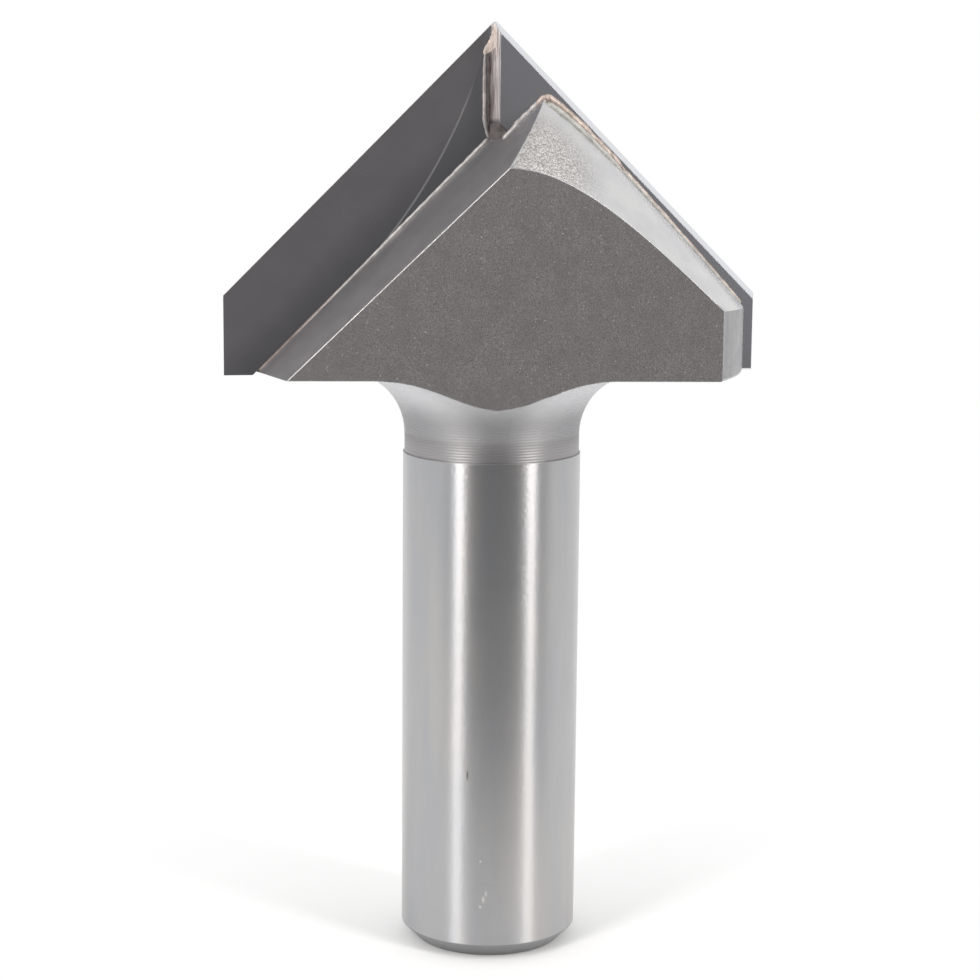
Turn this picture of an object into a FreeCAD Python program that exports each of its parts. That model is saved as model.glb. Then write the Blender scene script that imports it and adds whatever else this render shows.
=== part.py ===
import FreeCAD, Part
import math
import os
from FreeCAD import Placement, Rotation, Vector

# V groove router bit: a one-piece steel body (shank, neck and fluted head) that carries two carbide inserts,
# each brazed into a milled seat. All sizes are in millimetres. The origin is the centre of the shank's end face,
# +Z runs along the axis to the tip, and the two cutting edges lie in the XZ plane.

# Shank and neck
shank_diameter = 12.7
shank_length = 36.0
end_chamfer = 1.1
neck_diameter = 12.5
neck_length = 1.3
neck_fillet = 4.5

# Cutting geometry
cutting_diameter = 38.1
included_angle = 90.0
side_edge_length = 5.6
tip_blunting = 0.13
tip_overlap = 0.32

# Carbide inserts
insert_thickness = 2.0
insert_drop = 0.2
edge_clearance_angle = 17.0
side_clearance_angle = 16.0
bottom_clearance_angle = 9.4
end_bevel_angle = 10.0

# Ground rake faces: the wheel leaves a slightly proud land where it did not reach, near the tip
land_height = 0.05
grind_wheel_diameter = 76.6
grind_centre_across = 37.5
grind_centre_rise = 8.75

# Gullets and seats
insert_width = 5.5
wall_draft_angle = 11.6
braze_film = 0.1

# Relief of the steel behind the cutting edges
relief_drop = 0.6
relief_cone_angle = 84.0
relief_offset_across = 0.73
relief_offset_behind = 1.35
heel_radius = 18.35
heel_offset = 2.46
flat_distance = 7.0
flat_turn_angle = 6.4

# Braze beads
seam_bead = 0.42
wall_bead = 0.35
tip_bead = 0.3
tip_bead_gap = 1.2
heel_margin = 0.55
seam_sections = 9

# Heights and radii that follow from the driving sizes
shank_radius = shank_diameter / 2
neck_radius = neck_diameter / 2
cutting_radius = cutting_diameter / 2
half_angle = math.radians(included_angle / 2)
neck_top = shank_length + neck_length
underside = neck_top + neck_fillet
insert_bottom = underside - insert_drop
corner_height = insert_bottom + side_edge_length
apex_height = corner_height + cutting_radius / math.tan(half_angle)
seat_depth = insert_thickness + braze_film
relief_apex = apex_height - relief_drop
relief_half_angle = math.radians(relief_cone_angle / 2)
draft_slope = math.tan(math.radians(wall_draft_angle)) / math.sin(half_angle)
wall_apex = apex_height - insert_width / math.sin(half_angle)

# Sizes of the tool volumes, each larger than the head
reach = 2 * cutting_diameter
above = apex_height + cutting_radius


def prism(points, direction):
    """Solid swept from a closed outline along a vector."""
    wire = Part.makePolygon([Vector(*p) for p in points] + [Vector(*points[0])])
    return Part.Face(wire).extrude(Vector(*direction))


def half_turn(shape):
    """The same shape on the other side of the axis."""
    turned = shape.copy()
    turned.rotate(Vector(0, 0, 0), Vector(0, 0, 1), 180)
    return turned


def half_turn_vector(vector):
    """The same direction after half a turn about the axis."""
    return Vector(-vector.x, -vector.y, vector.z)


def side_box(y_low, y_high):
    """Everything between two planes parallel to the cutting edges."""
    return Part.makeBox(2 * reach, y_high - y_low, above + reach, Vector(-reach, y_low, -cutting_radius))


def edge_frame():
    """Unit vectors along the left cutting edge (towards the tip) and square to it (out of the steel), in XZ."""
    along = Vector(math.sin(half_angle), 0, math.cos(half_angle))
    outward = Vector(-math.cos(half_angle), 0, math.sin(half_angle))
    return along, outward


def outside_of_plane(point, normal):
    """A large block on the side of a plane that the normal points to."""
    block = Part.makeBox(2 * reach, 2 * reach, reach, Vector(-reach, -reach, 0))
    turn = Rotation(Vector(0, 0, 1), normal)
    block.Placement = Placement(point, turn)
    return block


def wall_plane(clearance):
    """Point and outward normal of the left gullet's wall, moved outward by a clearance."""
    outward = edge_frame()[1]
    draft = math.radians(wall_draft_angle)
    normal = outward * math.cos(draft) + Vector(0, -math.sin(draft), 0)
    return Vector(0, 0, wall_apex) + normal * clearance, normal


def gullet():
    """The milled gullet and seat of the left insert: everything in front of the seat and outside the wall."""
    point, normal = wall_plane(0)
    return outside_of_plane(point, normal).common(side_box(-reach, seat_depth))


def stem():
    """Shank with its chamfered end, neck, and the fillet that flares out to the head's underside."""
    end_radius = shank_radius - end_chamfer
    flare_radius = neck_radius + neck_fillet
    turn = math.radians(45)
    middle_x = flare_radius - neck_fillet * math.cos(turn)
    middle_z = neck_top + neck_fillet * math.sin(turn)
    corners = [
        (0, 0), (end_radius, 0), (shank_radius, end_chamfer), (shank_radius, shank_length),
        (neck_radius, shank_length), (neck_radius, neck_top),
    ]
    points = [Vector(x, 0, z) for x, z in corners]
    edges = [Part.LineSegment(a, b).toShape() for a, b in zip(points, points[1:])]
    flare_end = Vector(flare_radius, 0, underside)
    edges.append(Part.Arc(points[-1], Vector(middle_x, 0, middle_z), flare_end).toShape())
    centre_top = Vector(0, 0, underside)
    edges.append(Part.LineSegment(flare_end, centre_top).toShape())
    edges.append(Part.LineSegment(centre_top, points[0]).toShape())
    face = Part.Face(Part.Wire(edges))
    return face.revolve(Vector(0, 0, 0), Vector(0, 0, 1), 360)


def front_half_head():
    """Front half of the head: an eccentric relief cone behind the right cutting edge, over a relief heel."""
    cone_height = relief_apex - underside + cutting_radius
    cone_base = Vector(relief_offset_across, relief_offset_behind, relief_apex - cone_height)
    cone = Part.makeCone(cone_height * math.tan(relief_half_angle), 0, cone_height, cone_base)
    heel = Part.makeCylinder(heel_radius, above, Vector(0, heel_offset, underside))
    return cone.common(heel).common(side_box(-reach, 0))


def flat_cut():
    """What the front flat takes off the head and the flare."""
    turn = math.radians(flat_turn_angle)
    normal = Vector(-math.sin(turn), -math.cos(turn), 0)
    block = Part.makeBox(reach, 2 * reach, above, Vector(0, -reach, 0))
    block.rotate(Vector(0, 0, 0), Vector(0, 0, 1), math.degrees(math.atan2(normal.y, normal.x)))
    block.translate(normal * flat_distance + Vector(0, 0, neck_top))
    return block


def turned_blank():
    """The turned stem with the two relieved half heads, before the flats, gullets and seats are cut."""
    half = front_half_head()
    return stem().fuse([half, half_turn(half)])


def steel_body(blank):
    """The one-piece steel body: the blank with two flats and two gullets with their seats."""
    body = blank
    cuts = [flat_cut(), gullet()]
    for cut in cuts:
        body = body.cut(cut).cut(half_turn(cut))
    return body.removeSplitter()


def insert_outline(inner_apex):
    """Outline of the left insert's rake face in XZ; its inner edge would meet the axis at inner_apex."""
    slope = 1 / math.tan(half_angle)
    return [
        (0, apex_height), (-cutting_radius, corner_height), (-cutting_radius, insert_bottom),
        ((insert_bottom - inner_apex) / slope, insert_bottom),
        (tip_overlap, inner_apex + tip_overlap * slope), (tip_overlap, apex_height - tip_overlap * slope),
    ]


def ground_layer():
    """What is off the left rake face: the wheel's path up to where it stopped, and the overlap at the tip."""
    along = edge_frame()[0]
    centre = Vector(-grind_centre_across, 0, apex_height + grind_centre_rise)
    wheel = Part.makeCylinder(grind_wheel_diameter / 2, reach, centre - Vector(0, reach, 0), Vector(0, 1, 0))
    path = outside_of_plane(centre, -along)
    overlap = outside_of_plane(Vector(-tip_overlap, 0, 0), Vector(1, 0, 0))
    return wheel.fuse([path.common(side_box(-reach, 0)), overlap.common(side_box(-reach, 0))])


def under_insert():
    """Everything below the plate's bottom face, which rises away from the rake face."""
    bottom = math.radians(bottom_clearance_angle)
    return outside_of_plane(Vector(0, 0, insert_bottom), Vector(0, math.sin(bottom), -math.cos(bottom)))


def carbide_insert():
    """The left insert: a carbide plate with ground clearance behind its edges and a bevelled inner end."""
    outward = edge_frame()[1]
    outline = [(x, -land_height, z) for x, z in insert_outline(wall_apex)]
    plate = prism(outline, (0, land_height + insert_thickness, 0)).cut(ground_layer())
    clearance = math.radians(edge_clearance_angle)
    flank = Vector(0, math.sin(clearance), 0) + outward * math.cos(clearance)
    plate = plate.cut(outside_of_plane(Vector(0, 0, apex_height), flank))
    side = math.radians(side_clearance_angle)
    side_normal = Vector(-math.cos(side), math.sin(side), 0)
    plate = plate.cut(outside_of_plane(Vector(-cutting_radius, 0, corner_height), side_normal))
    plate = plate.cut(under_insert())
    bevel = math.radians(end_bevel_angle)
    end_normal = Vector(math.cos(bevel), math.sin(bevel), 0)
    plate = plate.cut(outside_of_plane(Vector(tip_overlap, 0, corner_height), end_normal))
    blunt = Vector(0, 0, apex_height - tip_blunting)
    plate = plate.cut(outside_of_plane(blunt, Vector(0, 0, 1)))
    wall_point, wall_normal = wall_plane(braze_film)
    return plate.common(outside_of_plane(wall_point, wall_normal))


def bead(start, end, first_leg, second_leg):
    """A triangular braze fillet from start to end, with one leg along each of the two faces that it joins."""
    section = [start, start + first_leg, start + second_leg]
    return prism([tuple(p) for p in section], tuple(end - start))


def relief_height(x, y):
    """Height of the steel's relief surface behind the left insert."""
    distance = math.hypot(x + relief_offset_across, y + relief_offset_behind)
    return relief_apex - distance / math.tan(relief_half_angle)


def crest():
    """Where the left insert's back, the relief surface and the other gullet's wall meet."""
    wall_line = wall_apex - insert_thickness * draft_slope
    low = 0.0
    high = cutting_radius
    while high - low > braze_film / 1000:
        middle = (low + high) / 2
        if wall_line + middle / math.tan(half_angle) < relief_height(-middle, insert_thickness):
            low = middle
        else:
            high = middle
    return Vector(-low, insert_thickness, wall_line + low / math.tan(half_angle))


def braze_film_solid(blank):
    """The thin film of braze behind the left insert and along its inner edge, where there is steel to hold it."""
    point, normal = wall_plane(0)
    pocket = outside_of_plane(point, normal).common(side_box(0, seat_depth))
    inner = wall_apex - seat_depth
    outline = [(x, 0, z) for x, z in insert_outline(inner)]
    film = prism(outline, (0, seat_depth, 0)).common(pocket).common(blank).cut(under_insert())
    return film.cut(half_turn(outside_of_plane(point, normal)))


def rake_side_beads():
    """Fillets that show from the left insert's rake side: along the gullet wall, and up the joint at the tip."""
    along, outward = edge_frame()
    wall_foot = Vector(0, 0, wall_apex)
    wall_run = cutting_radius / 2
    wall_fillet = bead(wall_foot - along * wall_run, wall_foot,
                       outward * wall_bead, Vector(0, -wall_bead, 0))
    tip_foot = Vector(-tip_overlap, 0, wall_apex - tip_overlap)
    tip_rise = Vector(0, 0, apex_height - wall_apex - tip_overlap - tip_bead_gap)
    tip_fillet = bead(tip_foot, tip_foot + tip_rise, Vector(-tip_bead, 0, 0), Vector(0, -tip_bead, 0))
    return [wall_fillet, tip_fillet]


def back_wall_bead():
    """Fillet between the left insert's back and the other gullet's wall, from the axis up to the crest."""
    over = half_turn_vector(edge_frame()[1])
    top = crest()
    sink = over * (seam_bead * draft_slope + braze_film)
    start = Vector(0, insert_thickness, top.z + top.x / math.tan(half_angle))
    return bead(start - sink, top - sink, over * seam_bead + sink, Vector(0, seam_bead + braze_film, 0))


def seam_fillet():
    """Fillet along the curved seam between the left insert's back and the relief surface, down to the heel."""
    outward = edge_frame()[1]
    first = crest().x
    last = -heel_radius
    tail_y = insert_thickness + braze_film + seam_bead
    sections = []
    for index in range(seam_sections):
        x = first + (last - first) * index / (seam_sections - 1)
        foot = Vector(x, insert_thickness, relief_height(x, insert_thickness) - braze_film)
        top = foot + outward * (seam_bead + braze_film)
        tail = Vector(x, tail_y, relief_height(x, tail_y) - braze_film)
        sections.append(Part.makePolygon([foot, top, tail, foot]))
    return Part.makeLoft(sections, True, True)


def braze_joint(blank, body, inserts):
    """All the braze of the left insert, as one solid that fills the space between plate and steel."""
    beads = rake_side_beads() + [back_wall_bead(), seam_fillet()]
    heel_side = outside_of_plane(Vector(-heel_radius + heel_margin, 0, 0), Vector(-1, 0, 0))
    joint = braze_film_solid(blank).fuse([shape.cut(heel_side) for shape in beads])
    for other in [body] + inserts:
        joint = joint.cut(other)
    return joint.removeSplitter()


def export(name, shape):
    shape.exportStep(os.path.join("parts", name + ".step"))
    print(name, "solids", len(shape.Solids), "valid", shape.isValid(), "volume", round(shape.Volume, 2))


def main():
    os.makedirs("parts", exist_ok=True)
    blank = turned_blank()
    body = steel_body(blank)
    left_insert = carbide_insert()
    inserts = [left_insert, half_turn(left_insert)]
    left_braze = braze_joint(blank, body, inserts)
    export("steel_body", body)
    for number, insert in enumerate(inserts, start=1):
        export("carbide_insert_%d" % number, insert)
    export("braze_joint_1", left_braze)
    export("braze_joint_2", half_turn(left_braze))


main()
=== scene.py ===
import math

import bmesh
import bpy
from mathutils import Matrix, Vector, noise


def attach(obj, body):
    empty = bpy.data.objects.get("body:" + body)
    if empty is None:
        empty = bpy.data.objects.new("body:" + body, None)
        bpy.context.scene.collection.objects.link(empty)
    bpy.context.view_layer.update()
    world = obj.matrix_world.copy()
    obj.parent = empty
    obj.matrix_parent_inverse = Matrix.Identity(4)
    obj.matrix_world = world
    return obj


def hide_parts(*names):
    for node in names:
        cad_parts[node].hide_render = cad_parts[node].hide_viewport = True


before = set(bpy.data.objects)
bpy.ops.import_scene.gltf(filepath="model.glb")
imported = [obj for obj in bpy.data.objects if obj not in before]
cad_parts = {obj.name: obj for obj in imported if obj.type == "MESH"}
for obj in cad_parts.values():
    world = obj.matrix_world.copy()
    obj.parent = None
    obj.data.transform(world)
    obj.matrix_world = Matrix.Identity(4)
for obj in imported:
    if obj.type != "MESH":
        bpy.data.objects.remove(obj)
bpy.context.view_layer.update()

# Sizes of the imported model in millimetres, repeated here to tell its surfaces apart
MM = 0.001
SHANK_LENGTH = 36.0
NECK_TOP = 37.3
UNDERSIDE = 41.8
APEX_HEIGHT = 66.25
WALL_APEX = 58.47
INSERT_THICKNESS = 2.0
RELIEF_APEX = 65.65
RELIEF_SLOPE = 1 / math.tan(math.radians(42))
RELIEF_OFFSET = (0.73, 1.35)
HEEL_TOP = 46.6
HEEL_EDGE_RADIUS = 16.6
GRIND_CENTRE = (-37.5, 75.0)
GRIND_RADIUS = 38.3
FLAT_DISTANCE = 7.0
FLAT_TURN = math.radians(6.4)
WALL_DRAFT = math.radians(11.6)
HALF_ANGLE = math.radians(45)
TIP_OVERLAP = 0.32
END_SLOPE = 0.176
END_NORMAL = (0.985, 0.174, 0)

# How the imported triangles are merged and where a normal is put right
WELD_DISTANCE = 0.03
FLAT_ANGLE = math.radians(0.05)
SHARP_ANGLE = math.radians(18)
LARGE_FACE = 2.0
STRAY_ANGLE = math.radians(32)
BRAZE_SHARP_ANGLE = math.radians(50)

# Rounding of the edges: the full widths, the shares of the steel's width, and how near an edge a point counts
STEEL_EDGE = 0.5
CARBIDE_EDGE = 0.028
RUBBED_SHARE = 0.15
PLAIN_SHARE = 0.1
FOOT_SHARE = 0.4
HEEL_SHARE = 0.4
RUBBED_REACH = 0.18
FOOT_REACH = 0.1
HEEL_REACH = 0.7
INSERT_MARGIN = 0.3
ROOM_FOR_ROUNDING = 1.3

# Camera fitted to the photograph: where it stands, how it is turned, and its lens
FRAME_PIXELS = 980
CAMERA_AZIMUTH = math.radians(-9.763)
CAMERA_DISTANCE = 168.374
CAMERA_HEIGHT = 61.995
CAMERA_YAW = math.radians(-9.732)
CAMERA_PITCH = math.radians(9.738)
CAMERA_ROLL = math.radians(0.511)
FOCAL_PIXELS = 2377.4
SENSOR_WIDTH = 36.0

# Backdrop, and the floor that turns into it between two distances from the bit
BACKDROP_LEVEL = 1.0
FRONT_LEVEL = 0.24
FRONT_RANGE = (-0.75, -0.1)
FLOOR_RADIUS = 130.0
FLOOR_SHIFT = 85.0
FLOOR_SIDES = 96
FLOOR_COLOUR = (0.93, 0.93, 0.93, 1)
SHADOW_RANGE = (6.0, 40.0)

# Two tall soft lights, and how high they stand and aim
STRIP_DISTANCE = 520.0
STRIP_WIDTH = 130.0
STRIP_HEIGHT = 620.0
STRIP_AZIMUTHS = {"strip_left": -51.0, "strip_right": 43.5}
STRIP_POWER = 1.9
STRIP_COLOUR = (1.0, 0.985, 0.965)
STRIP_RISE = 0.45
STRIP_AIM = 0.6

# Rings of the turned neck, and marks on the shank: place, radius, height over width, and colour
RING_PITCH = 0.2
SCRATCH = (0.20, 0.19, 0.18)
CHIP = (0.64, 0.63, 0.62)
SHANK_MARKS = (
    ((-1.20, -6.23, 4.98), 0.12, 2.6, CHIP),
    ((-1.38, -6.19, 4.56), 0.16, 2.2, CHIP),
    ((-1.60, -6.15, 4.01), 0.15, 1.0, CHIP),
    ((-1.60, -6.15, 7.38), 0.11, 1.4, CHIP),
    ((-2.53, -5.82, 13.68), 0.11, 4.5, SCRATCH),
)

# Where the relief is grainy, above the top of each flat, and where shade is painted on it, beside each gullet
GRAINY_PLACES = ((2.2, -6.4, 56.6), (-2.2, 6.4, 56.6))
GRAINY_RADIUS = 5.6
GRAINY_CORE = 0.3
GULLET_SHADE_PLACES = ((1.2, -4.2, 58.6), (-1.2, 4.2, 58.6))
GULLET_SHADE_RADIUS = 3.6

# Shade on the carbide along the wall, and the line where the grinding wheel stopped: where it fades off its
# middle, and where it comes and goes with height
WALL_SHADE_WIDTH = 4.2
GRIND_LINE = (0.03, 0.09)
GRIND_LINE_ENDS = ((48.0, 50.0, 0.0, 1.0), (60.0, 62.5, 1.0, 0.0))
GRIND_LINE_COLOUR = (0.68, 0.66, 0.66)

# Lumpy beads of braze
BEAD_STEP = 0.1
BEAD_SIDES = 14
BEAD_SWELL = 0.22
BEAD_LUMP = 0.12
BEAD_LUMPS_PER_MM = 2.4
BEAD_WAVES_PER_MM = 1.7

# Thin film of braze: its start and end behind an insert, its foot, and its height and ends along the wall
FILM_RANGE = (-0.002, 0.098)
FILM_FOOT = 42.05
WALL_FILM = 0.14
WALL_FILM_ENDS = (-16.55, -0.45)

# Smear of braze over the corner between the two inserts: height, and its start and end across the corner
SMEAR_ROWS = (
    (63.9, -0.52, -0.30), (64.05, -0.53, 0.05), (64.2, -0.50, 0.55), (64.35, -0.44, 1.10),
    (64.6, -0.32, 1.34), (65.0, -0.08, 1.36), (65.4, 0.30, 1.24), (65.75, 0.60, 0.90),
)
SMEAR_POINTS = 16
SMEAR_THICKNESS = 0.06
SMEAR_SINK = 0.01
SMEAR_DEPTH = 0.04
SMEAR_LIFT = 0.05
CORNER_WIDTH = 0.5

# Dark plug in the colour of burnt flux, put in the corner under an insert's end to stand in for the shade
# there: its outline, a point inside the joint, and the rings from its middle to its rim, each with its share
# of the outline and its bulge
PLUG_OUTLINE = (
    (0.33, 0.04, 59.12), (-0.02, 2.04, 59.20), (-0.52, 2.05, 58.62), (-0.36, 2.05, 58.02),
    (0.46, 0.02, 57.96),
)
PLUG_INSIDE = (-0.30, 0.90, 58.0)
PLUG_STEPS = 5
PLUG_RINGS = ((0.15, 0.07), (0.5, 0.06), (0.85, 0.03), (1.0, 0.0))
PLUG_DIRECTION = (1.0, 0.2, 0.1)
PLUG_ROOT = 0.3

# Names of the finishes of the steel body and of the inserts, in the order of their material slots
FINISHES = ("shank", "turned", "blasted", "milled", "relief", "heel", "rubbed", "edge")
CARBIDE_FINISHES = ("rake", "land", "back", "flank", "end", "edge")


class Nodes:
    """A node tree with short ways to add to it."""

    def __init__(self, owner):
        owner.use_nodes = True
        self.nodes = owner.node_tree.nodes
        self.links = owner.node_tree.links

    def put(self, socket, value):
        """Links an output to a socket, or sets the socket's value."""
        if isinstance(value, bpy.types.NodeSocket):
            self.links.new(value, socket)
        else:
            socket.default_value = value

    def node(self, kind, values=None, output=0, **settings):
        """Adds a node with its settings and inputs, and returns one of its outputs."""
        made = self.nodes.new("ShaderNode" + kind)
        for name, value in settings.items():
            setattr(made, name, value)
        for name, value in (values or {}).items():
            self.put(made.inputs[name], value)
        return made.outputs[output]

    def level(self, value, low, high, to_low=0.0, to_high=1.0):
        """A value mapped smoothly from one range to another."""
        values = {"Value": value, "From Min": low, "From Max": high, "To Min": to_low, "To Max": to_high}
        return self.node("MapRange", values, interpolation_type="SMOOTHSTEP")

    def combine(self, operation, first, second=0.0):
        """The result of a sum or other operation on one or two values."""
        return self.node("Math", {0: first, 1: second}, operation=operation)


class Finish(Nodes):
    """A metal material whose colour, roughness and relief vary over the surface."""

    def __init__(self, name, colour, roughness):
        self.material = bpy.data.materials.new(name)
        super().__init__(self.material)
        self.surface = self.nodes["Principled BSDF"]
        self.set(Metallic=1.0, Roughness=roughness, Base_Color=(*colour, 1))
        coordinates = self.node("TexCoord", output="Object")
        self.place = self.node("Mapping", {"Vector": coordinates, "Scale": (1 / MM, 1 / MM, 1 / MM)})

    def set(self, **values):
        """Sets or links the shader's own sockets; an underscore stands for a space."""
        for name, value in values.items():
            self.put(self.surface.inputs[name.replace("_", " ")], value)

    def stretched(self, along):
        """Place in millimetres, divided by a length along each axis."""
        scale = tuple(1 / length for length in along)
        return self.node("Mapping", {"Vector": self.place, "Scale": scale})

    def grain(self, along, detail=2.0, roughness=0.5):
        """Noise from 0 to 1 whose features are about this long, in millimetres, along each axis."""
        place = self.stretched(along)
        values = {"Vector": place, "Scale": 1.0, "Detail": detail, "Roughness": roughness}
        return self.node("TexNoise", values)

    def blend(self, factor, first, second):
        """A colour between two colours."""
        values = {0: factor}
        for socket, colour in ((6, first), (7, second)):
            values[socket] = colour if isinstance(colour, bpy.types.NodeSocket) else (*colour, 1)
        return self.node("Mix", values, 2, data_type="RGBA")

    def relief(self, height, depth, below=None):
        """Bump of a height from 0 to 1, whose full depth is in millimetres."""
        values = {"Height": height, "Distance": depth * MM, "Strength": 1.0}
        if below is not None:
            values["Normal"] = below
        return self.node("Bump", values)

    def spot(self, place, radius, core=0.5):
        """1 round a place in millimetres out to a share of the radius, fading to 0 at the radius."""
        apart = self.node("VectorMath", {0: self.place, 1: place}, "Value", operation="DISTANCE")
        return self.level(apart, radius * core, radius, 1.0, 0.0)

    def mark(self, place, radius, stretch, core=0.3):
        """A spot that is as many times higher than wide as stretch says."""
        offset = self.node("VectorMath", {0: self.place, 1: place}, "Vector", operation="SUBTRACT")
        lower = (1, 1, 1 / stretch)
        squashed = self.node("VectorMath", {0: offset, 1: lower}, "Vector", operation="MULTIPLY")
        apart = self.node("VectorMath", {0: squashed}, "Value", operation="LENGTH")
        return self.level(apart, radius * core, radius, 1.0, 0.0)

    def axis(self, name):
        """The place along X, Y or Z, in millimetres."""
        return self.node("SeparateXYZ", {"Vector": self.place}, output=name)


def link(piece):
    """Adds an object to the scene."""
    bpy.context.scene.collection.objects.link(piece)
    return piece


def applied(piece):
    """Applies a piece's modifiers to its mesh."""
    graph = bpy.context.evaluated_depsgraph_get()
    mesh = bpy.data.meshes.new_from_object(piece.evaluated_get(graph))
    piece.modifiers.clear()
    piece.data = mesh


def merged_shape(mesh):
    """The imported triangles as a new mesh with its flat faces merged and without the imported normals."""
    shape = bmesh.new()
    shape.from_mesh(mesh)
    bmesh.ops.remove_doubles(shape, verts=shape.verts, dist=WELD_DISTANCE * MM)
    bmesh.ops.dissolve_limit(shape, angle_limit=FLAT_ANGLE, verts=shape.verts, edges=shape.edges)
    shape.verts.index_update()
    points = [vertex.co.copy() for vertex in shape.verts]
    faces = [[vertex.index for vertex in face.verts] for face in shape.faces]
    shape.free()
    merged = bpy.data.meshes.new(mesh.name)
    merged.from_pydata(points, [], faces)
    merged.shade_smooth()
    return merged


def weigh_edges(mesh, width, share):
    """Gives each outer edge its share of the full rounding, and marks the others as sharp."""
    shape = bmesh.new()
    shape.from_mesh(mesh)
    layer = shape.edges.layers.float.new("bevel_weight_edge")
    for edge in shape.edges:
        if len(edge.link_faces) != 2 or edge.calc_face_angle() < SHARP_ANGLE:
            continue
        spans = []
        for face in edge.link_faces:
            spans.append(face.calc_area() / max(side.calc_length() for side in face.edges))
        part = share((edge.verts[0].co + edge.verts[1].co) / 2 / MM)
        if edge.is_convex and min(spans) > ROOM_FOR_ROUNDING * width * part * MM:
            edge[layer] = part
        else:
            edge.smooth = False
    shape.to_mesh(mesh)
    shape.free()


def finished_copy(node, name, edge, share, materials):
    """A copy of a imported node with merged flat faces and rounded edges, which stands for that node."""
    mesh = merged_shape(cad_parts[node].data)
    weigh_edges(mesh, edge, share)
    for material in materials:
        mesh.materials.append(material)
    piece = link(bpy.data.objects.new(name, mesh))
    bevel = piece.modifiers.new("edges", "BEVEL")
    bevel.width = edge * MM
    bevel.segments = 2
    bevel.limit_method = "WEIGHT"
    bevel.use_clamp_overlap = False
    bevel.material = len(materials) - 1
    even = piece.modifiers.new("even_shading", "WEIGHTED_NORMAL")
    even.mode = "FACE_AREA"
    even.weight = 50
    even.keep_sharp = True
    applied(piece)
    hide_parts(node)
    return piece


def paint(piece, choose):
    """Gives each face the material that choose returns; the last material marks the rounded edges."""
    edge = len(piece.data.materials) - 1
    for face in piece.data.polygons:
        face.material_index = choose(face.center / MM, face.normal, face.material_index == edge)


def steady_normals(piece, kinds):
    """Gives a corner its own face's normal where it strays, and on large plane faces of some finishes."""
    mesh = piece.data
    normals = [corner.vector.copy() for corner in mesh.corner_normals]
    for face in mesh.polygons:
        plane = face.material_index in kinds and face.area > LARGE_FACE * MM * MM
        for loop in face.loop_indices:
            if plane or face.normal.angle(normals[loop], 0.0) > STRAY_ANGLE:
                normals[loop] = face.normal.copy()
    mesh.normals_split_custom_set(normals)


def same_direction(normal, direction):
    """Whether a face looks along a direction, or along the same one after half a turn about Z."""
    other = Vector((-direction.x, -direction.y, direction.z))
    return max(normal.dot(direction), normal.dot(other)) > 0.999


def flat_normal():
    """Outward normal of the front flat."""
    return Vector((-math.sin(FLAT_TURN), -math.cos(FLAT_TURN), 0))


def wall_normal():
    """Outward normal of the left gullet's wall."""
    outward = Vector((-math.cos(HALF_ANGLE), 0, math.sin(HALF_ANGLE)))
    return outward * math.cos(WALL_DRAFT) + Vector((0, -math.sin(WALL_DRAFT), 0))


def on_rubbed_edge(centre):
    """Whether a point of the steel is on the edge between a gullet's wall and its flat."""
    for side in (1, -1):
        point = Vector((centre.x * side, centre.y * side, centre.z))
        from_flat = abs(point.dot(flat_normal()) - FLAT_DISTANCE)
        from_wall = abs((point - Vector((0, 0, WALL_APEX))).dot(wall_normal()))
        if max(from_flat, from_wall) < RUBBED_REACH:
            return True
    return False


def steel_edge_share(place):
    """The share of the full rounding that an edge of the steel gets, from the middle of the edge."""
    if on_rubbed_edge(place):
        return RUBBED_SHARE
    outer = math.hypot(place.x, place.y) > HEEL_EDGE_RADIUS
    if outer and abs(place.y) > INSERT_THICKNESS + INSERT_MARGIN:
        if abs(place.z - HEEL_TOP) < HEEL_REACH:
            return HEEL_SHARE
        if abs(place.z - UNDERSIDE) < FOOT_REACH:
            return FOOT_SHARE
    return PLAIN_SHARE


def steel_finish(centre, normal, edge):
    """The finish of a face of the steel body."""
    if edge and centre.z > UNDERSIDE - 0.2:
        return FINISHES.index("rubbed" if on_rubbed_edge(centre) else "edge")
    if centre.z < SHANK_LENGTH:
        upright = abs(normal.z) < 0.1
        return FINISHES.index("shank" if upright else "turned")
    if centre.z < NECK_TOP:
        return FINISHES.index("turned")
    if same_direction(normal, flat_normal()):
        return FINISHES.index("blasted")
    if same_direction(normal, wall_normal()) or abs(normal.y) > 0.999:
        return FINISHES.index("milled")
    if centre.z < UNDERSIDE + 0.01:
        return FINISHES.index("turned")
    return FINISHES.index("heel" if abs(normal.z) < 0.1 else "relief")


def shank_steel():
    """Cylindrically ground steel: fine marks round the shank spread each highlight along its length."""
    finish = Finish("ground_shank", (0.45, 0.45, 0.46), 0.34)
    marks = finish.grain((5.0, 5.0, 0.045), detail=3.0)
    waves = finish.grain((0.3, 0.3, 0.2), detail=2.0)
    cloud = finish.grain((2.2, 2.2, 14.0), detail=4.0)
    tone = finish.blend(finish.level(cloud, 0.3, 0.7), (0.415, 0.42, 0.435), (0.468, 0.457, 0.45))
    for place, radius, stretch, colour in SHANK_MARKS:
        tone = finish.blend(finish.mark(place, radius, stretch), tone, colour)
    finish.set(Base_Color=tone, Roughness=finish.level(marks, 0.3, 0.7, 0.30, 0.35))
    finish.set(Anisotropic=0.85, Anisotropic_Rotation=0.25)
    finish.set(Tangent=finish.node("Tangent", direction_type="RADIAL", axis="Z"))
    finish.set(Normal=finish.relief(marks, 0.0002, finish.relief(waves, 0.008)))
    return finish.material


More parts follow.
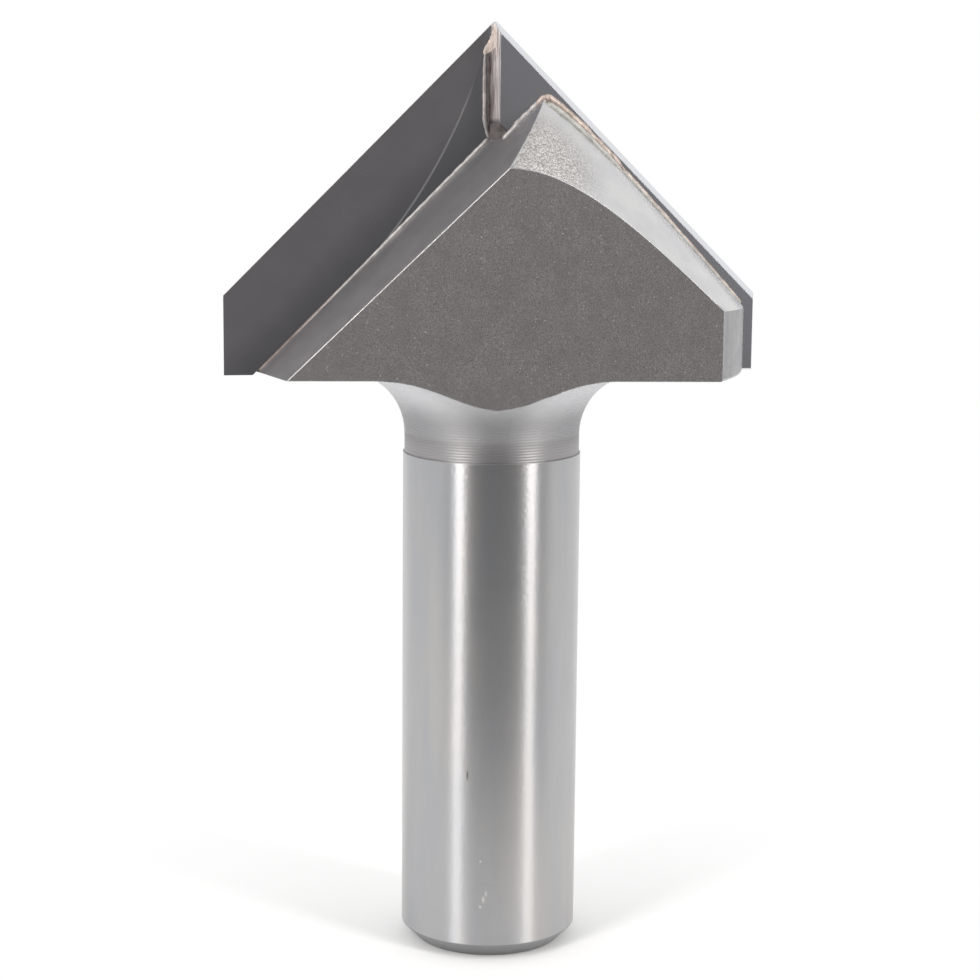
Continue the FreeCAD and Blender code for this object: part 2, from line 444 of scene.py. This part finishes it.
def turned_steel():
    """Turned steel of the neck, the flare and the shank's chamfer, with the rings of the tool's feed, a
    painted reflection on the top of the flare and painted shade on the chamfer.
    """
    finish = Finish("turned_neck", (0.47, 0.47, 0.48), 0.45)
    height = finish.axis("Z")
    wave = finish.combine("SINE", finish.combine("MULTIPLY", height, 2 * math.pi / RING_PITCH))
    near_shank = finish.level(height, NECK_TOP + 0.4, NECK_TOP + 2.0, 1.0, 0.12)
    rings = finish.combine("MULTIPLY", wave, near_shank)
    marks = finish.grain((5.0, 5.0, 0.05), detail=3.0)
    cloud = finish.grain((1.6, 1.6, 1.6), detail=4.0)
    tone = finish.blend(finish.level(cloud, 0.3, 0.7), (0.42, 0.425, 0.44), (0.50, 0.50, 0.50))
    low = finish.level(height, NECK_TOP + 1.0, NECK_TOP + 2.6, 1.0, 0.0)
    tone = finish.blend(low, tone, (0.42, 0.415, 0.425))
    band = finish.level(height, NECK_TOP - 0.1, NECK_TOP + 0.3, 1.0, 0.0)
    tone = finish.blend(band, tone, (0.355, 0.345, 0.35))
    # Painted reflection: the top of the flare is lighter, standing in for the bright surroundings it
    # reflects.
    high = finish.level(height, NECK_TOP + 1.2, NECK_TOP + 3.6, 0.0, 1.0)
    tone = finish.blend(high, tone, (0.66, 0.66, 0.675))
    # Painted shade: the shank's chamfer and end are darker towards the bottom, below 3 mm, where they face
    # the shaded floor.
    foot = finish.level(height, 2.0, 3.0, 1.0, 0.0)
    tone = finish.blend(foot, tone, (0.31, 0.31, 0.315))
    rough = finish.level(height, NECK_TOP - 0.9, NECK_TOP + 0.4, 0.48, 0.63)
    finish.set(Base_Color=tone, Roughness=rough, Anisotropic=0.6, Anisotropic_Rotation=0.25)
    finish.set(Tangent=finish.node("Tangent", direction_type="RADIAL", axis="Z"))
    coarse = finish.relief(rings, 0.006)
    finish.set(Normal=finish.relief(marks, 0.001, coarse))
    return finish.material


def blasted_steel():
    """Bead-blasted steel of the flats: a fine dented skin with small painted glints on the dents."""
    finish = Finish("blasted_flat", (0.30, 0.28, 0.28), 0.55)
    dents = finish.grain((0.10, 0.10, 0.13), detail=3.0, roughness=0.65)
    cloud = finish.grain((1.3, 1.3, 1.8), detail=4.0)
    # Painted glints: small pale spots in the colour where the dents would catch the light.
    painted_glints = finish.level(finish.grain((0.13, 0.13, 0.16), detail=1.0), 0.69, 0.77)
    tone = finish.blend(finish.level(cloud, 0.3, 0.7), (0.285, 0.26, 0.265), (0.325, 0.31, 0.30))
    tone = finish.blend(finish.level(dents, 0.3, 0.7), (0.28, 0.26, 0.263), tone)
    tone = finish.blend(painted_glints, tone, (0.56, 0.53, 0.51))
    finish.set(Base_Color=tone, Roughness=finish.level(dents, 0.3, 0.7, 0.46, 0.62))
    finish.set(Normal=finish.relief(dents, 0.009))
    return finish.material


def milled_steel():
    """Smooth milled steel of the gullet walls and the seats."""
    finish = Finish("milled_wall", (0.40, 0.39, 0.40), 0.38)
    marks = finish.grain((1.5, 0.12, 1.5), detail=2.0)
    cloud = finish.grain((1.3, 1.3, 1.3), detail=4.0)
    tone = finish.blend(finish.level(cloud, 0.3, 0.7), (0.41, 0.405, 0.412), (0.455, 0.447, 0.447))
    finish.set(Base_Color=tone, Normal=finish.relief(marks, 0.0015))
    return finish.material


def relief_steel():
    """Pale relieved steel behind the cutting edges, speckled where it meets the top of the flat, with painted
    shade beside each gullet.
    """
    finish = Finish("relieved_head", (0.66, 0.66, 0.66), 0.34)
    dents = finish.grain((0.15, 0.15, 0.15), detail=3.0, roughness=0.6)
    grains = finish.grain((0.16, 0.16, 0.16), detail=3.0, roughness=0.75)
    cloud = finish.grain((2.2, 2.2, 2.2), detail=3.0)
    spots = [finish.spot(place, GRAINY_RADIUS, GRAINY_CORE) for place in GRAINY_PLACES]
    grainy = finish.combine("MAXIMUM", *spots)
    tone = finish.blend(finish.level(cloud, 0.3, 0.7), (0.60, 0.60, 0.615), (0.67, 0.665, 0.66))
    # Painted shade: the relief is darkened beside each gullet.
    painted_gullet_shade = [finish.spot(place, GULLET_SHADE_RADIUS, 0.0) for place in GULLET_SHADE_PLACES]
    tone = finish.blend(finish.combine("MAXIMUM", *painted_gullet_shade), tone, (0.42, 0.41, 0.40))
    speckle = finish.blend(finish.level(grains, 0.38, 0.60), (0.34, 0.325, 0.31), (0.62, 0.60, 0.585))
    finish.set(Base_Color=finish.blend(grainy, tone, speckle))
    rough = finish.relief(finish.combine("MULTIPLY", grains, grainy), 0.05)
    finish.set(Normal=finish.relief(dents, 0.003, rough))
    return finish.material


def heel_steel():
    """Duller turned steel of the heel under the relief."""
    finish = Finish("turned_heel", (0.37, 0.37, 0.38), 0.4)
    marks = finish.grain((3.0, 3.0, 0.08), detail=3.0)
    cloud = finish.grain((1.2, 1.2, 1.2), detail=4.0)
    tone = finish.blend(finish.level(cloud, 0.3, 0.7), (0.31, 0.31, 0.32), (0.375, 0.375, 0.38))
    finish.set(Base_Color=tone, Normal=finish.relief(marks, 0.0015))
    return finish.material


def edge_steel(name, colour, low, high, depth):
    """Steel of an edge, brighter where it has been burred over and rubbed."""
    finish = Finish(name, colour, low)
    wear = finish.grain((0.35, 0.35, 0.35), detail=4.0)
    finish.set(Roughness=finish.level(wear, 0.3, 0.7, low, high))
    finish.set(Normal=finish.relief(wear, depth))
    return finish.material


def grinding_line(finish, across):
    """1 on the line where the grinding wheel stopped, on both cutting faces."""
    place = finish.node("CombineXYZ", {"X": across, "Z": finish.axis("Z")})
    centre = (-GRIND_CENTRE[0], 0.0, GRIND_CENTRE[1])
    radius = finish.node("VectorMath", {0: place, 1: centre}, "Value", operation="DISTANCE")
    off_line = finish.combine("ABSOLUTE", finish.combine("SUBTRACT", radius, GRIND_RADIUS))
    line = finish.level(off_line, *GRIND_LINE, 1.0, 0.0)
    for low, high, to_low, to_high in GRIND_LINE_ENDS:
        shown = finish.level(finish.axis("Z"), low, high, to_low, to_high)
        line = finish.combine("MULTIPLY", line, shown)
    return line


def carbide_face(name, dark, light, roughness, ground=False):
    """Carbide with a clouded tone that is darker along the wall, and the wheel's line if it was ground."""
    finish = Finish(name, dark, roughness)
    cloud = finish.grain((2.0, 2.0, 2.0), detail=4.0)
    across = finish.combine("ABSOLUTE", finish.axis("X"))
    off_wall = finish.combine("ADD", across, finish.axis("Z"))
    from_wall = finish.level(off_wall, WALL_APEX, WALL_APEX + WALL_SHADE_WIDTH)
    clouded = finish.combine("MULTIPLY", cloud, 0.4)
    share = finish.combine("ADD", finish.combine("MULTIPLY", from_wall, 0.7), clouded)
    tone = finish.blend(share, dark, light)
    if ground:
        tone = finish.blend(grinding_line(finish, across), tone, GRIND_LINE_COLOUR)
    finish.set(Base_Color=tone)
    return finish.material


def streaked_end():
    """The brazed inner end of a carbide insert, streaked along its height, with painted shadow darkening its
    foot.
    """
    finish = Finish("carbide_end", (0.42, 0.37, 0.36), 0.4)
    streaks = finish.grain((0.10, 0.28, 2.2), detail=4.0)
    # Painted shadow: the foot of the end, below the braze, is darkened where shade falls.
    foot = finish.level(finish.axis("Z"), 59.2, 59.6, 1.0, 0.0)
    tone = finish.blend(finish.level(streaks, 0.36, 0.60), (0.42, 0.36, 0.36), (0.88, 0.83, 0.79))
    finish.set(Base_Color=finish.blend(foot, tone, (0.20, 0.18, 0.18)), Metallic=0.7)
    finish.set(Normal=finish.relief(streaks, 0.02))
    return finish.material


def carbide_finish(centre, normal, edge, side):
    """The finish of a face of an insert; side is 1 for the left one and -1 for the right one."""
    if edge:
        return CARBIDE_FINISHES.index("edge")
    if normal.y * side < -0.99:
        return CARBIDE_FINISHES.index("land" if centre.y * side < -0.02 else "rake")
    if normal.y * side > 0.99 or normal.z > 0.9:
        return CARBIDE_FINISHES.index("back")
    if normal.x * side > 0.9:
        return CARBIDE_FINISHES.index("end")
    return CARBIDE_FINISHES.index("flank")


def braze_metal(name, dark, light, roughness, metallic):
    """Braze with a lumpy skin and a clouded tone."""
    finish = Finish(name, dark, roughness)
    cloud = finish.grain((0.5, 0.5, 0.5), detail=4.0)
    lumps = finish.grain((0.3, 0.3, 0.3), detail=3.0)
    finish.set(Metallic=metallic)
    finish.set(Base_Color=finish.blend(finish.level(cloud, 0.35, 0.65), dark, light))
    finish.set(Roughness=finish.level(lumps, 0.3, 0.7, roughness - 0.1, roughness + 0.1))
    finish.set(Normal=finish.relief(lumps, 0.007))
    return finish.material


def relief_point(x, lift, behind):
    """A point of the seam behind the left insert, lifted off the relief and moved away from the insert."""
    y = INSERT_THICKNESS + behind
    distance = math.hypot(x + RELIEF_OFFSET[0], y + RELIEF_OFFSET[1])
    return (x, y, RELIEF_APEX - RELIEF_SLOPE * distance + lift)


def seam_path(first, last, lift, behind):
    """Points of that seam from one place across to another, about 1.2 mm apart."""
    count = max(2, int(abs(last - first) / 1.2))
    places = [first + (last - first) * index / count for index in range(count + 1)]
    return [relief_point(x, lift, behind) for x in places]


def joint_beads():
    """Beads of the left joint: the kind of braze, the points it follows, and its radii along it."""
    wall = [(-0.40, -0.04, 58.07), (-3.0, -0.04, 55.46), (-7.4, -0.02, 51.05), (-12.6, 0.0, 45.83),
            (-14.5, 0.0, 43.92)]
    tip = [(-0.40, -0.06, 58.1), (-0.56, -0.07, 58.6), (-0.72, -0.06, 59.4), (-0.76, -0.06, 62.0),
           (-0.75, -0.05, 63.5), (-0.66, -0.03, 64.2)]
    gap = [(-0.45, 0.03, 58.5), (-0.47, 0.03, 61.0), (-0.47, 0.03, 63.9)]
    back = [(-0.25, 2.02, 58.02), (-1.7, 2.02, 59.5), (-3.05, 2.02, 60.88), (-3.5, 2.04, 60.95)]
    crest = [(-2.2, 2.04, 60.02), (-3.05, 2.04, 60.88), (-3.5, 2.06, 60.95), (-4.0, 2.06, 60.55)]
    return [
        ("dull", wall, (0.19, 0.19, 0.17, 0.09, 0.03)),
        ("dull", tip, (0.13, 0.15, 0.14, 0.13, 0.12, 0.07)),
        ("flux_and_shade", gap, (0.15, 0.16, 0.14)),
        ("dull", back, (0.20, 0.27, 0.28, 0.20)),
        ("tan", crest, (0.12, 0.25, 0.26, 0.18)),
        ("tan", seam_path(-3.2, -8.9, 0.14, 0.06), (0.26, 0.30, 0.29, 0.30, 0.28, 0.29, 0.14)),
        ("pale", seam_path(-3.3, -8.75, -0.10, 0.34), (0.24, 0.28, 0.29, 0.27, 0.28, 0.14)),
        ("tan", seam_path(-8.6, -17.55, 0.08, 0.06), (0.19, 0.18, 0.16, 0.13)),
        ("pale", seam_path(-8.7, -17.5, 0.0, 0.22), (0.15, 0.14, 0.13, 0.10)),
    ]


def along_path(points, radii, step):
    """Points and radii at an even step along a path."""
    points = [Vector(point) for point in points]
    lengths = [0.0]
    for first, second in zip(points, points[1:]):
        lengths.append(lengths[-1] + (second - first).length)
    count = max(3, int(lengths[-1] / step))
    stations = []
    for index in range(count + 1):
        share = index / count
        run = share * lengths[-1]
        part = max(number for number in range(len(points) - 1) if lengths[number] <= run + 1e-9)
        inside = (run - lengths[part]) / (lengths[part + 1] - lengths[part])
        centre = points[part].lerp(points[part + 1], min(inside, 1.0))
        at = share * (len(radii) - 1)
        low = min(int(at), len(radii) - 2)
        stations.append((centre, radii[low] + (radii[low + 1] - radii[low]) * (at - low)))
    return stations


def add_rings(points, faces, rings):
    """Adds the closed shape through a row of rings, with a face at each end, to points and faces."""
    first = len(points)
    count = len(rings[0])
    for ring in rings:
        points += ring
    for number in range(len(rings) - 1):
        low = first + number * count
        for corner in range(count):
            after = (corner + 1) % count
            faces.append((low + corner, low + count + corner, low + count + after, low + after))
    last = first + (len(rings) - 1) * count
    faces.append(tuple(first + corner for corner in range(count)))
    faces.append(tuple(last + corner for corner in reversed(range(count))))


def bead_rings(path, radii, seed):
    """The rings of a lumpy bead that follows a path."""
    stations = along_path(path, radii, BEAD_STEP)
    drift = Vector((seed * 7.3, seed * 3.1, seed * 5.7))
    centres = [centre for centre, radius in stations]
    rings = []
    for index, (centre, radius) in enumerate(stations):
        ahead = centres[min(index + 1, len(centres) - 1)] - centres[max(index - 1, 0)]
        side = ahead.cross(Vector((0, 1, 0))).normalized()
        lift = side.cross(ahead).normalized()
        swell = 1 + BEAD_SWELL * noise.noise(centre * BEAD_WAVES_PER_MM + drift)
        near_end = min(index, len(stations) - 1 - index) * BEAD_STEP / radius
        swell *= math.sqrt(min(1.0, 0.15 + 0.85 * near_end))
        ring = []
        for corner in range(BEAD_SIDES):
            angle = 2 * math.pi * corner / BEAD_SIDES
            out = side * math.cos(angle) + lift * math.sin(angle)
            lump = 1 + BEAD_LUMP * noise.noise((centre + out * radius) * BEAD_LUMPS_PER_MM + drift)
            ring.append(centre + out * radius * swell * lump)
        rings.append(ring)
    return rings


def smear_point(across, height, off):
    """A point off the left insert's end: on the cutting face before the corner, on the end past it."""
    turn = min(max(across / CORNER_WIDTH + 0.5, 0.0), 1.0)
    outward = Vector((0, 1, 0)).lerp(Vector(END_NORMAL), turn).normalized()
    slope = 1.0 if across < 0 else END_SLOPE
    return Vector((TIP_OVERLAP - slope * across, max(across, SMEAR_LIFT), height)) + off * outward


def smear_rings():
    """The rings of the braze smeared over the corner between the inserts, in the left joint's frame."""
    rings = []
    for height, first, last in SMEAR_ROWS:
        outer = []
        inner = []
        for number in range(SMEAR_POINTS + 1):
            share = number / SMEAR_POINTS
            across = first + (last - first) * share
            bulge = SMEAR_THICKNESS * math.sqrt(math.sin(math.pi * share))
            outer.append(smear_point(across, height, bulge - SMEAR_SINK))
            inner.append(smear_point(across, height, -SMEAR_DEPTH))
        rings.append(outer + inner[::-1])
    return rings


def plug_rings():
    """The rings of the dark plug, painted shade under the end of the right insert, in the left joint's frame.
    """
    corners = [Vector(corner) for corner in PLUG_OUTLINE]
    outline = []
    for corner, following in zip(corners, corners[1:] + corners[:1]):
        outline += [corner.lerp(following, step / PLUG_STEPS) for step in range(PLUG_STEPS)]
    middle = sum(corners, Vector()) / len(corners)
    rings = []
    for share, bulge in PLUG_RINGS:
        out = Vector(PLUG_DIRECTION) * bulge
        rings.append([middle.lerp(point, share) + out for point in outline])
    rings.append([Vector(PLUG_INSIDE).lerp(point, PLUG_ROOT) for point in outline])
    return rings


def turned(path, side):
    """Points of the left joint, or the same points after half a turn about Z for the right one."""
    return [Vector((x * side, y * side, z)) for x, y, z in path]


def outward_faces(mesh):
    """Makes every face of the closed shapes in a mesh look outward."""
    shape = bmesh.new()
    shape.from_mesh(mesh)
    bmesh.ops.recalc_face_normals(shape, faces=shape.faces)
    shape.to_mesh(mesh)
    shape.free()


def film_sheets():
    """The thin braze behind the left insert and along its inner edge, each as two outlines."""
    seam = [(x, z) for x, y, z in seam_path(-3.2, -17.6, -0.02, 0.0)]
    behind = seam + [(-17.7, FILM_FOOT), (-16.98, FILM_FOOT), (-0.62, 58.42)]
    back, seat = [[(x, INSERT_THICKNESS + depth, z) for x, z in behind] for depth in FILM_RANGE]
    lean = INSERT_THICKNESS * math.tan(WALL_DRAFT) / math.sin(HALF_ANGLE)
    ends = []
    for foot in WALL_FILM_ENDS:
        low = foot + WALL_APEX
        front = [(foot, 0.0, low), (foot, 0.0, low + WALL_FILM)]
        rear = [(foot - lean, INSERT_THICKNESS, low + WALL_FILM), (foot - lean, INSERT_THICKNESS, low)]
        ends.append(front + rear)
    return [(back, seat), ends]


def braze_piece(number, metals):
    """The braze of one insert: the thin film, with the lumpy beads that set along its edges."""
    node = "braze_joint_%d" % number
    side = 1 if number == 1 else -1
    points = []
    faces = []
    shapes = [("tan", [turned(outline, side) for outline in sheet]) for sheet in film_sheets()]
    shapes.append(("copper", [turned(ring, side) for ring in smear_rings()]))
    shapes.append(("flux_and_shade", [turned(ring, side) for ring in plug_rings()]))
    for index, (kind, path, radii) in enumerate(joint_beads()):
        shapes.append((kind, bead_rings(turned(path, side), radii, index + 10 * number)))
    kinds = []
    for kind, rings in shapes:
        add_rings(points, faces, rings)
        kinds += [list(metals).index(kind)] * (len(faces) - len(kinds))
    mesh = bpy.data.meshes.new(node + "_finished")
    mesh.from_pydata([point * MM for point in points], [], faces)
    for metal in metals.values():
        mesh.materials.append(metal)
    mesh.polygons.foreach_set("material_index", kinds)
    outward_faces(mesh)
    mesh.shade_smooth()
    mesh.set_sharp_from_angle(angle=BRAZE_SHARP_ANGLE)
    piece = link(bpy.data.objects.new(node + "_finished", mesh))
    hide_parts(node)
    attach(piece, "root")


def steel_pieces():
    """The steel body, with a finish for each way it was machined."""
    materials = [
        shank_steel(),
        turned_steel(),
        blasted_steel(),
        milled_steel(),
        relief_steel(),
        heel_steel(),
        edge_steel("rubbed_edge", (0.50, 0.49, 0.48), 0.30, 0.60, 0.012),
        edge_steel("plain_edge", (0.50, 0.50, 0.505), 0.4, 0.5, 0.002),
    ]
    body = finished_copy("steel_body", "steel_body_finished", STEEL_EDGE, steel_edge_share, materials)
    paint(body, steel_finish)
    steady_normals(body, (FINISHES.index("blasted"), FINISHES.index("milled")))
    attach(body, "root")


def carbide_pieces():
    """The two carbide inserts."""
    materials = [
        carbide_face("carbide_rake", (0.25, 0.245, 0.265), (0.44, 0.42, 0.435), 0.22, ground=True),
        carbide_face("carbide_land", (0.25, 0.25, 0.27), (0.36, 0.35, 0.37), 0.26, ground=True),
        carbide_face("carbide_back", (0.34, 0.33, 0.35), (0.40, 0.40, 0.43), 0.34),
        carbide_face("carbide_flank", (0.52, 0.54, 0.58), (0.60, 0.615, 0.65), 0.2),
        streaked_end(),
        carbide_face("carbide_edge", (0.30, 0.30, 0.32), (0.38, 0.38, 0.40), 0.35),
    ]
    for number in (1, 2):
        node = "carbide_insert_%d" % number
        insert = finished_copy(node, node + "_finished", CARBIDE_EDGE, lambda place: 1.0, materials)
        side = 1 if number == 1 else -1
        paint(insert, lambda centre, normal, edge: carbide_finish(centre, normal, edge, side))
        steady_normals(insert, range(len(CARBIDE_FINISHES)))
        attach(insert, "root")


def braze_pieces():
    """The braze of both inserts, in the tones that it set in."""
    metals = {
        "tan": braze_metal("tan_braze", (0.42, 0.34, 0.30), (0.60, 0.50, 0.445), 0.5, 0.6),
        "pale": braze_metal("pale_braze", (0.42, 0.415, 0.385), (0.54, 0.53, 0.50), 0.6, 0.3),
        "dull": braze_metal("dull_braze", (0.40, 0.375, 0.37), (0.56, 0.53, 0.515), 0.5, 0.6),
        "copper": braze_metal("copper_braze", (0.62, 0.51, 0.455), (0.80, 0.70, 0.64), 0.6, 0.4),
        # Dark flux colour: real in the joint between the inserts, painted shade in the plug under an insert's
        # end.
        "flux_and_shade": braze_metal("burnt_flux_and_painted_shade", (0.10, 0.085, 0.083), (0.145, 0.125, 0.12), 0.7, 0.0),
    }
    for number in (1, 2):
        braze_piece(number, metals)


def make_camera():
    """The camera that was fitted to the photograph."""
    camera = bpy.data.cameras.new("camera")
    camera.sensor_fit = "HORIZONTAL"
    camera.sensor_width = SENSOR_WIDTH
    camera.lens = SENSOR_WIDTH * FOCAL_PIXELS / FRAME_PIXELS
    camera.clip_start = 0.01
    back = Vector((math.sin(CAMERA_YAW) * math.cos(CAMERA_PITCH),
                   -math.cos(CAMERA_YAW) * math.cos(CAMERA_PITCH), math.sin(CAMERA_PITCH)))
    right = Vector((math.cos(CAMERA_YAW), math.sin(CAMERA_YAW), 0))
    up = back.cross(right)
    rolled_right = right * math.cos(CAMERA_ROLL) + up * math.sin(CAMERA_ROLL)
    rolled_up = up * math.cos(CAMERA_ROLL) - right * math.sin(CAMERA_ROLL)
    eye = Vector((CAMERA_DISTANCE * math.sin(CAMERA_AZIMUTH),
                  -CAMERA_DISTANCE * math.cos(CAMERA_AZIMUTH), CAMERA_HEIGHT)) * MM
    holder = link(bpy.data.objects.new("camera", camera))
    turn = Matrix((rolled_right, rolled_up, back)).transposed().to_4x4()
    holder.matrix_world = Matrix.Translation(eye) @ turn
    bpy.context.scene.camera = holder


def make_strip(name, azimuth):
    """A tall soft light that looks at the bit's head."""
    light = bpy.data.lights.new(name, "AREA")
    light.shape = "RECTANGLE"
    light.size = STRIP_WIDTH * MM
    light.size_y = STRIP_HEIGHT * MM
    light.energy = STRIP_POWER
    light.color = STRIP_COLOUR
    angle = math.radians(azimuth)
    place = Vector((math.sin(angle), -math.cos(angle), 0)) * STRIP_DISTANCE
    place.z = STRIP_HEIGHT * STRIP_RISE
    target = Vector((0, 0, APEX_HEIGHT * STRIP_AIM))
    holder = link(bpy.data.objects.new(name, light))
    holder.location = place * MM
    holder.rotation_euler = (target - place).to_track_quat("-Z", "Y").to_euler()
    holder.visible_camera = False


def make_world():
    """A backdrop that the metal sees as white behind the bit and dim before it, and the camera as white."""
    world = bpy.data.worlds.new("studio")
    bpy.context.scene.world = world
    tree = Nodes(world)
    direction = tree.node("TexCoord", output="Generated")
    depth = tree.node("SeparateXYZ", {0: direction}, "Y")
    strength = tree.level(depth, *FRONT_RANGE, FRONT_LEVEL, BACKDROP_LEVEL)
    seen = tree.node("LightPath", output="Is Camera Ray")
    background = tree.nodes["Background"].inputs
    tree.put(background["Strength"], tree.combine("MAXIMUM", strength, seen))
    tree.put(background["Color"], (1, 1, 1, 1))


def make_floor():
    """A white sheet that keeps the bit's shadow and turns into the white backdrop further away."""
    bpy.ops.mesh.primitive_circle_add(vertices=FLOOR_SIDES, radius=FLOOR_RADIUS * MM, fill_type="NGON",
                                      location=(0, FLOOR_SHIFT * MM, 0))
    floor = bpy.context.object
    floor.name = "floor"
    material = bpy.data.materials.new("white_sheet")
    tree = Nodes(material)
    sheet = tree.nodes["Principled BSDF"]
    for name, value in (("Base Color", FLOOR_COLOUR), ("Roughness", 0.9), ("Specular IOR Level", 0.1)):
        tree.put(sheet.inputs[name], value)
    white = tree.node("Emission", {"Strength": BACKDROP_LEVEL})
    position = tree.node("NewGeometry", output="Position")
    distance = tree.node("VectorMath", {0: position}, "Value", operation="LENGTH")
    far = tree.level(distance, *(edge * MM for edge in SHADOW_RANGE))
    share = tree.combine("MULTIPLY", far, tree.node("LightPath", output="Is Camera Ray"))
    mixed = tree.node("MixShader", {0: share, 1: sheet.outputs[0], 2: white})
    tree.put(tree.nodes["Material Output"].inputs["Surface"], mixed)
    floor.data.materials.append(material)


def main():
    """Builds the studio and the pieces."""
    bpy.context.scene.view_settings.view_transform = "Standard"
    make_camera()
    make_world()
    make_floor()
    for name, azimuth in STRIP_AZIMUTHS.items():
        make_strip(name, azimuth)
    steel_pieces()
    carbide_pieces()
    braze_pieces()


main()
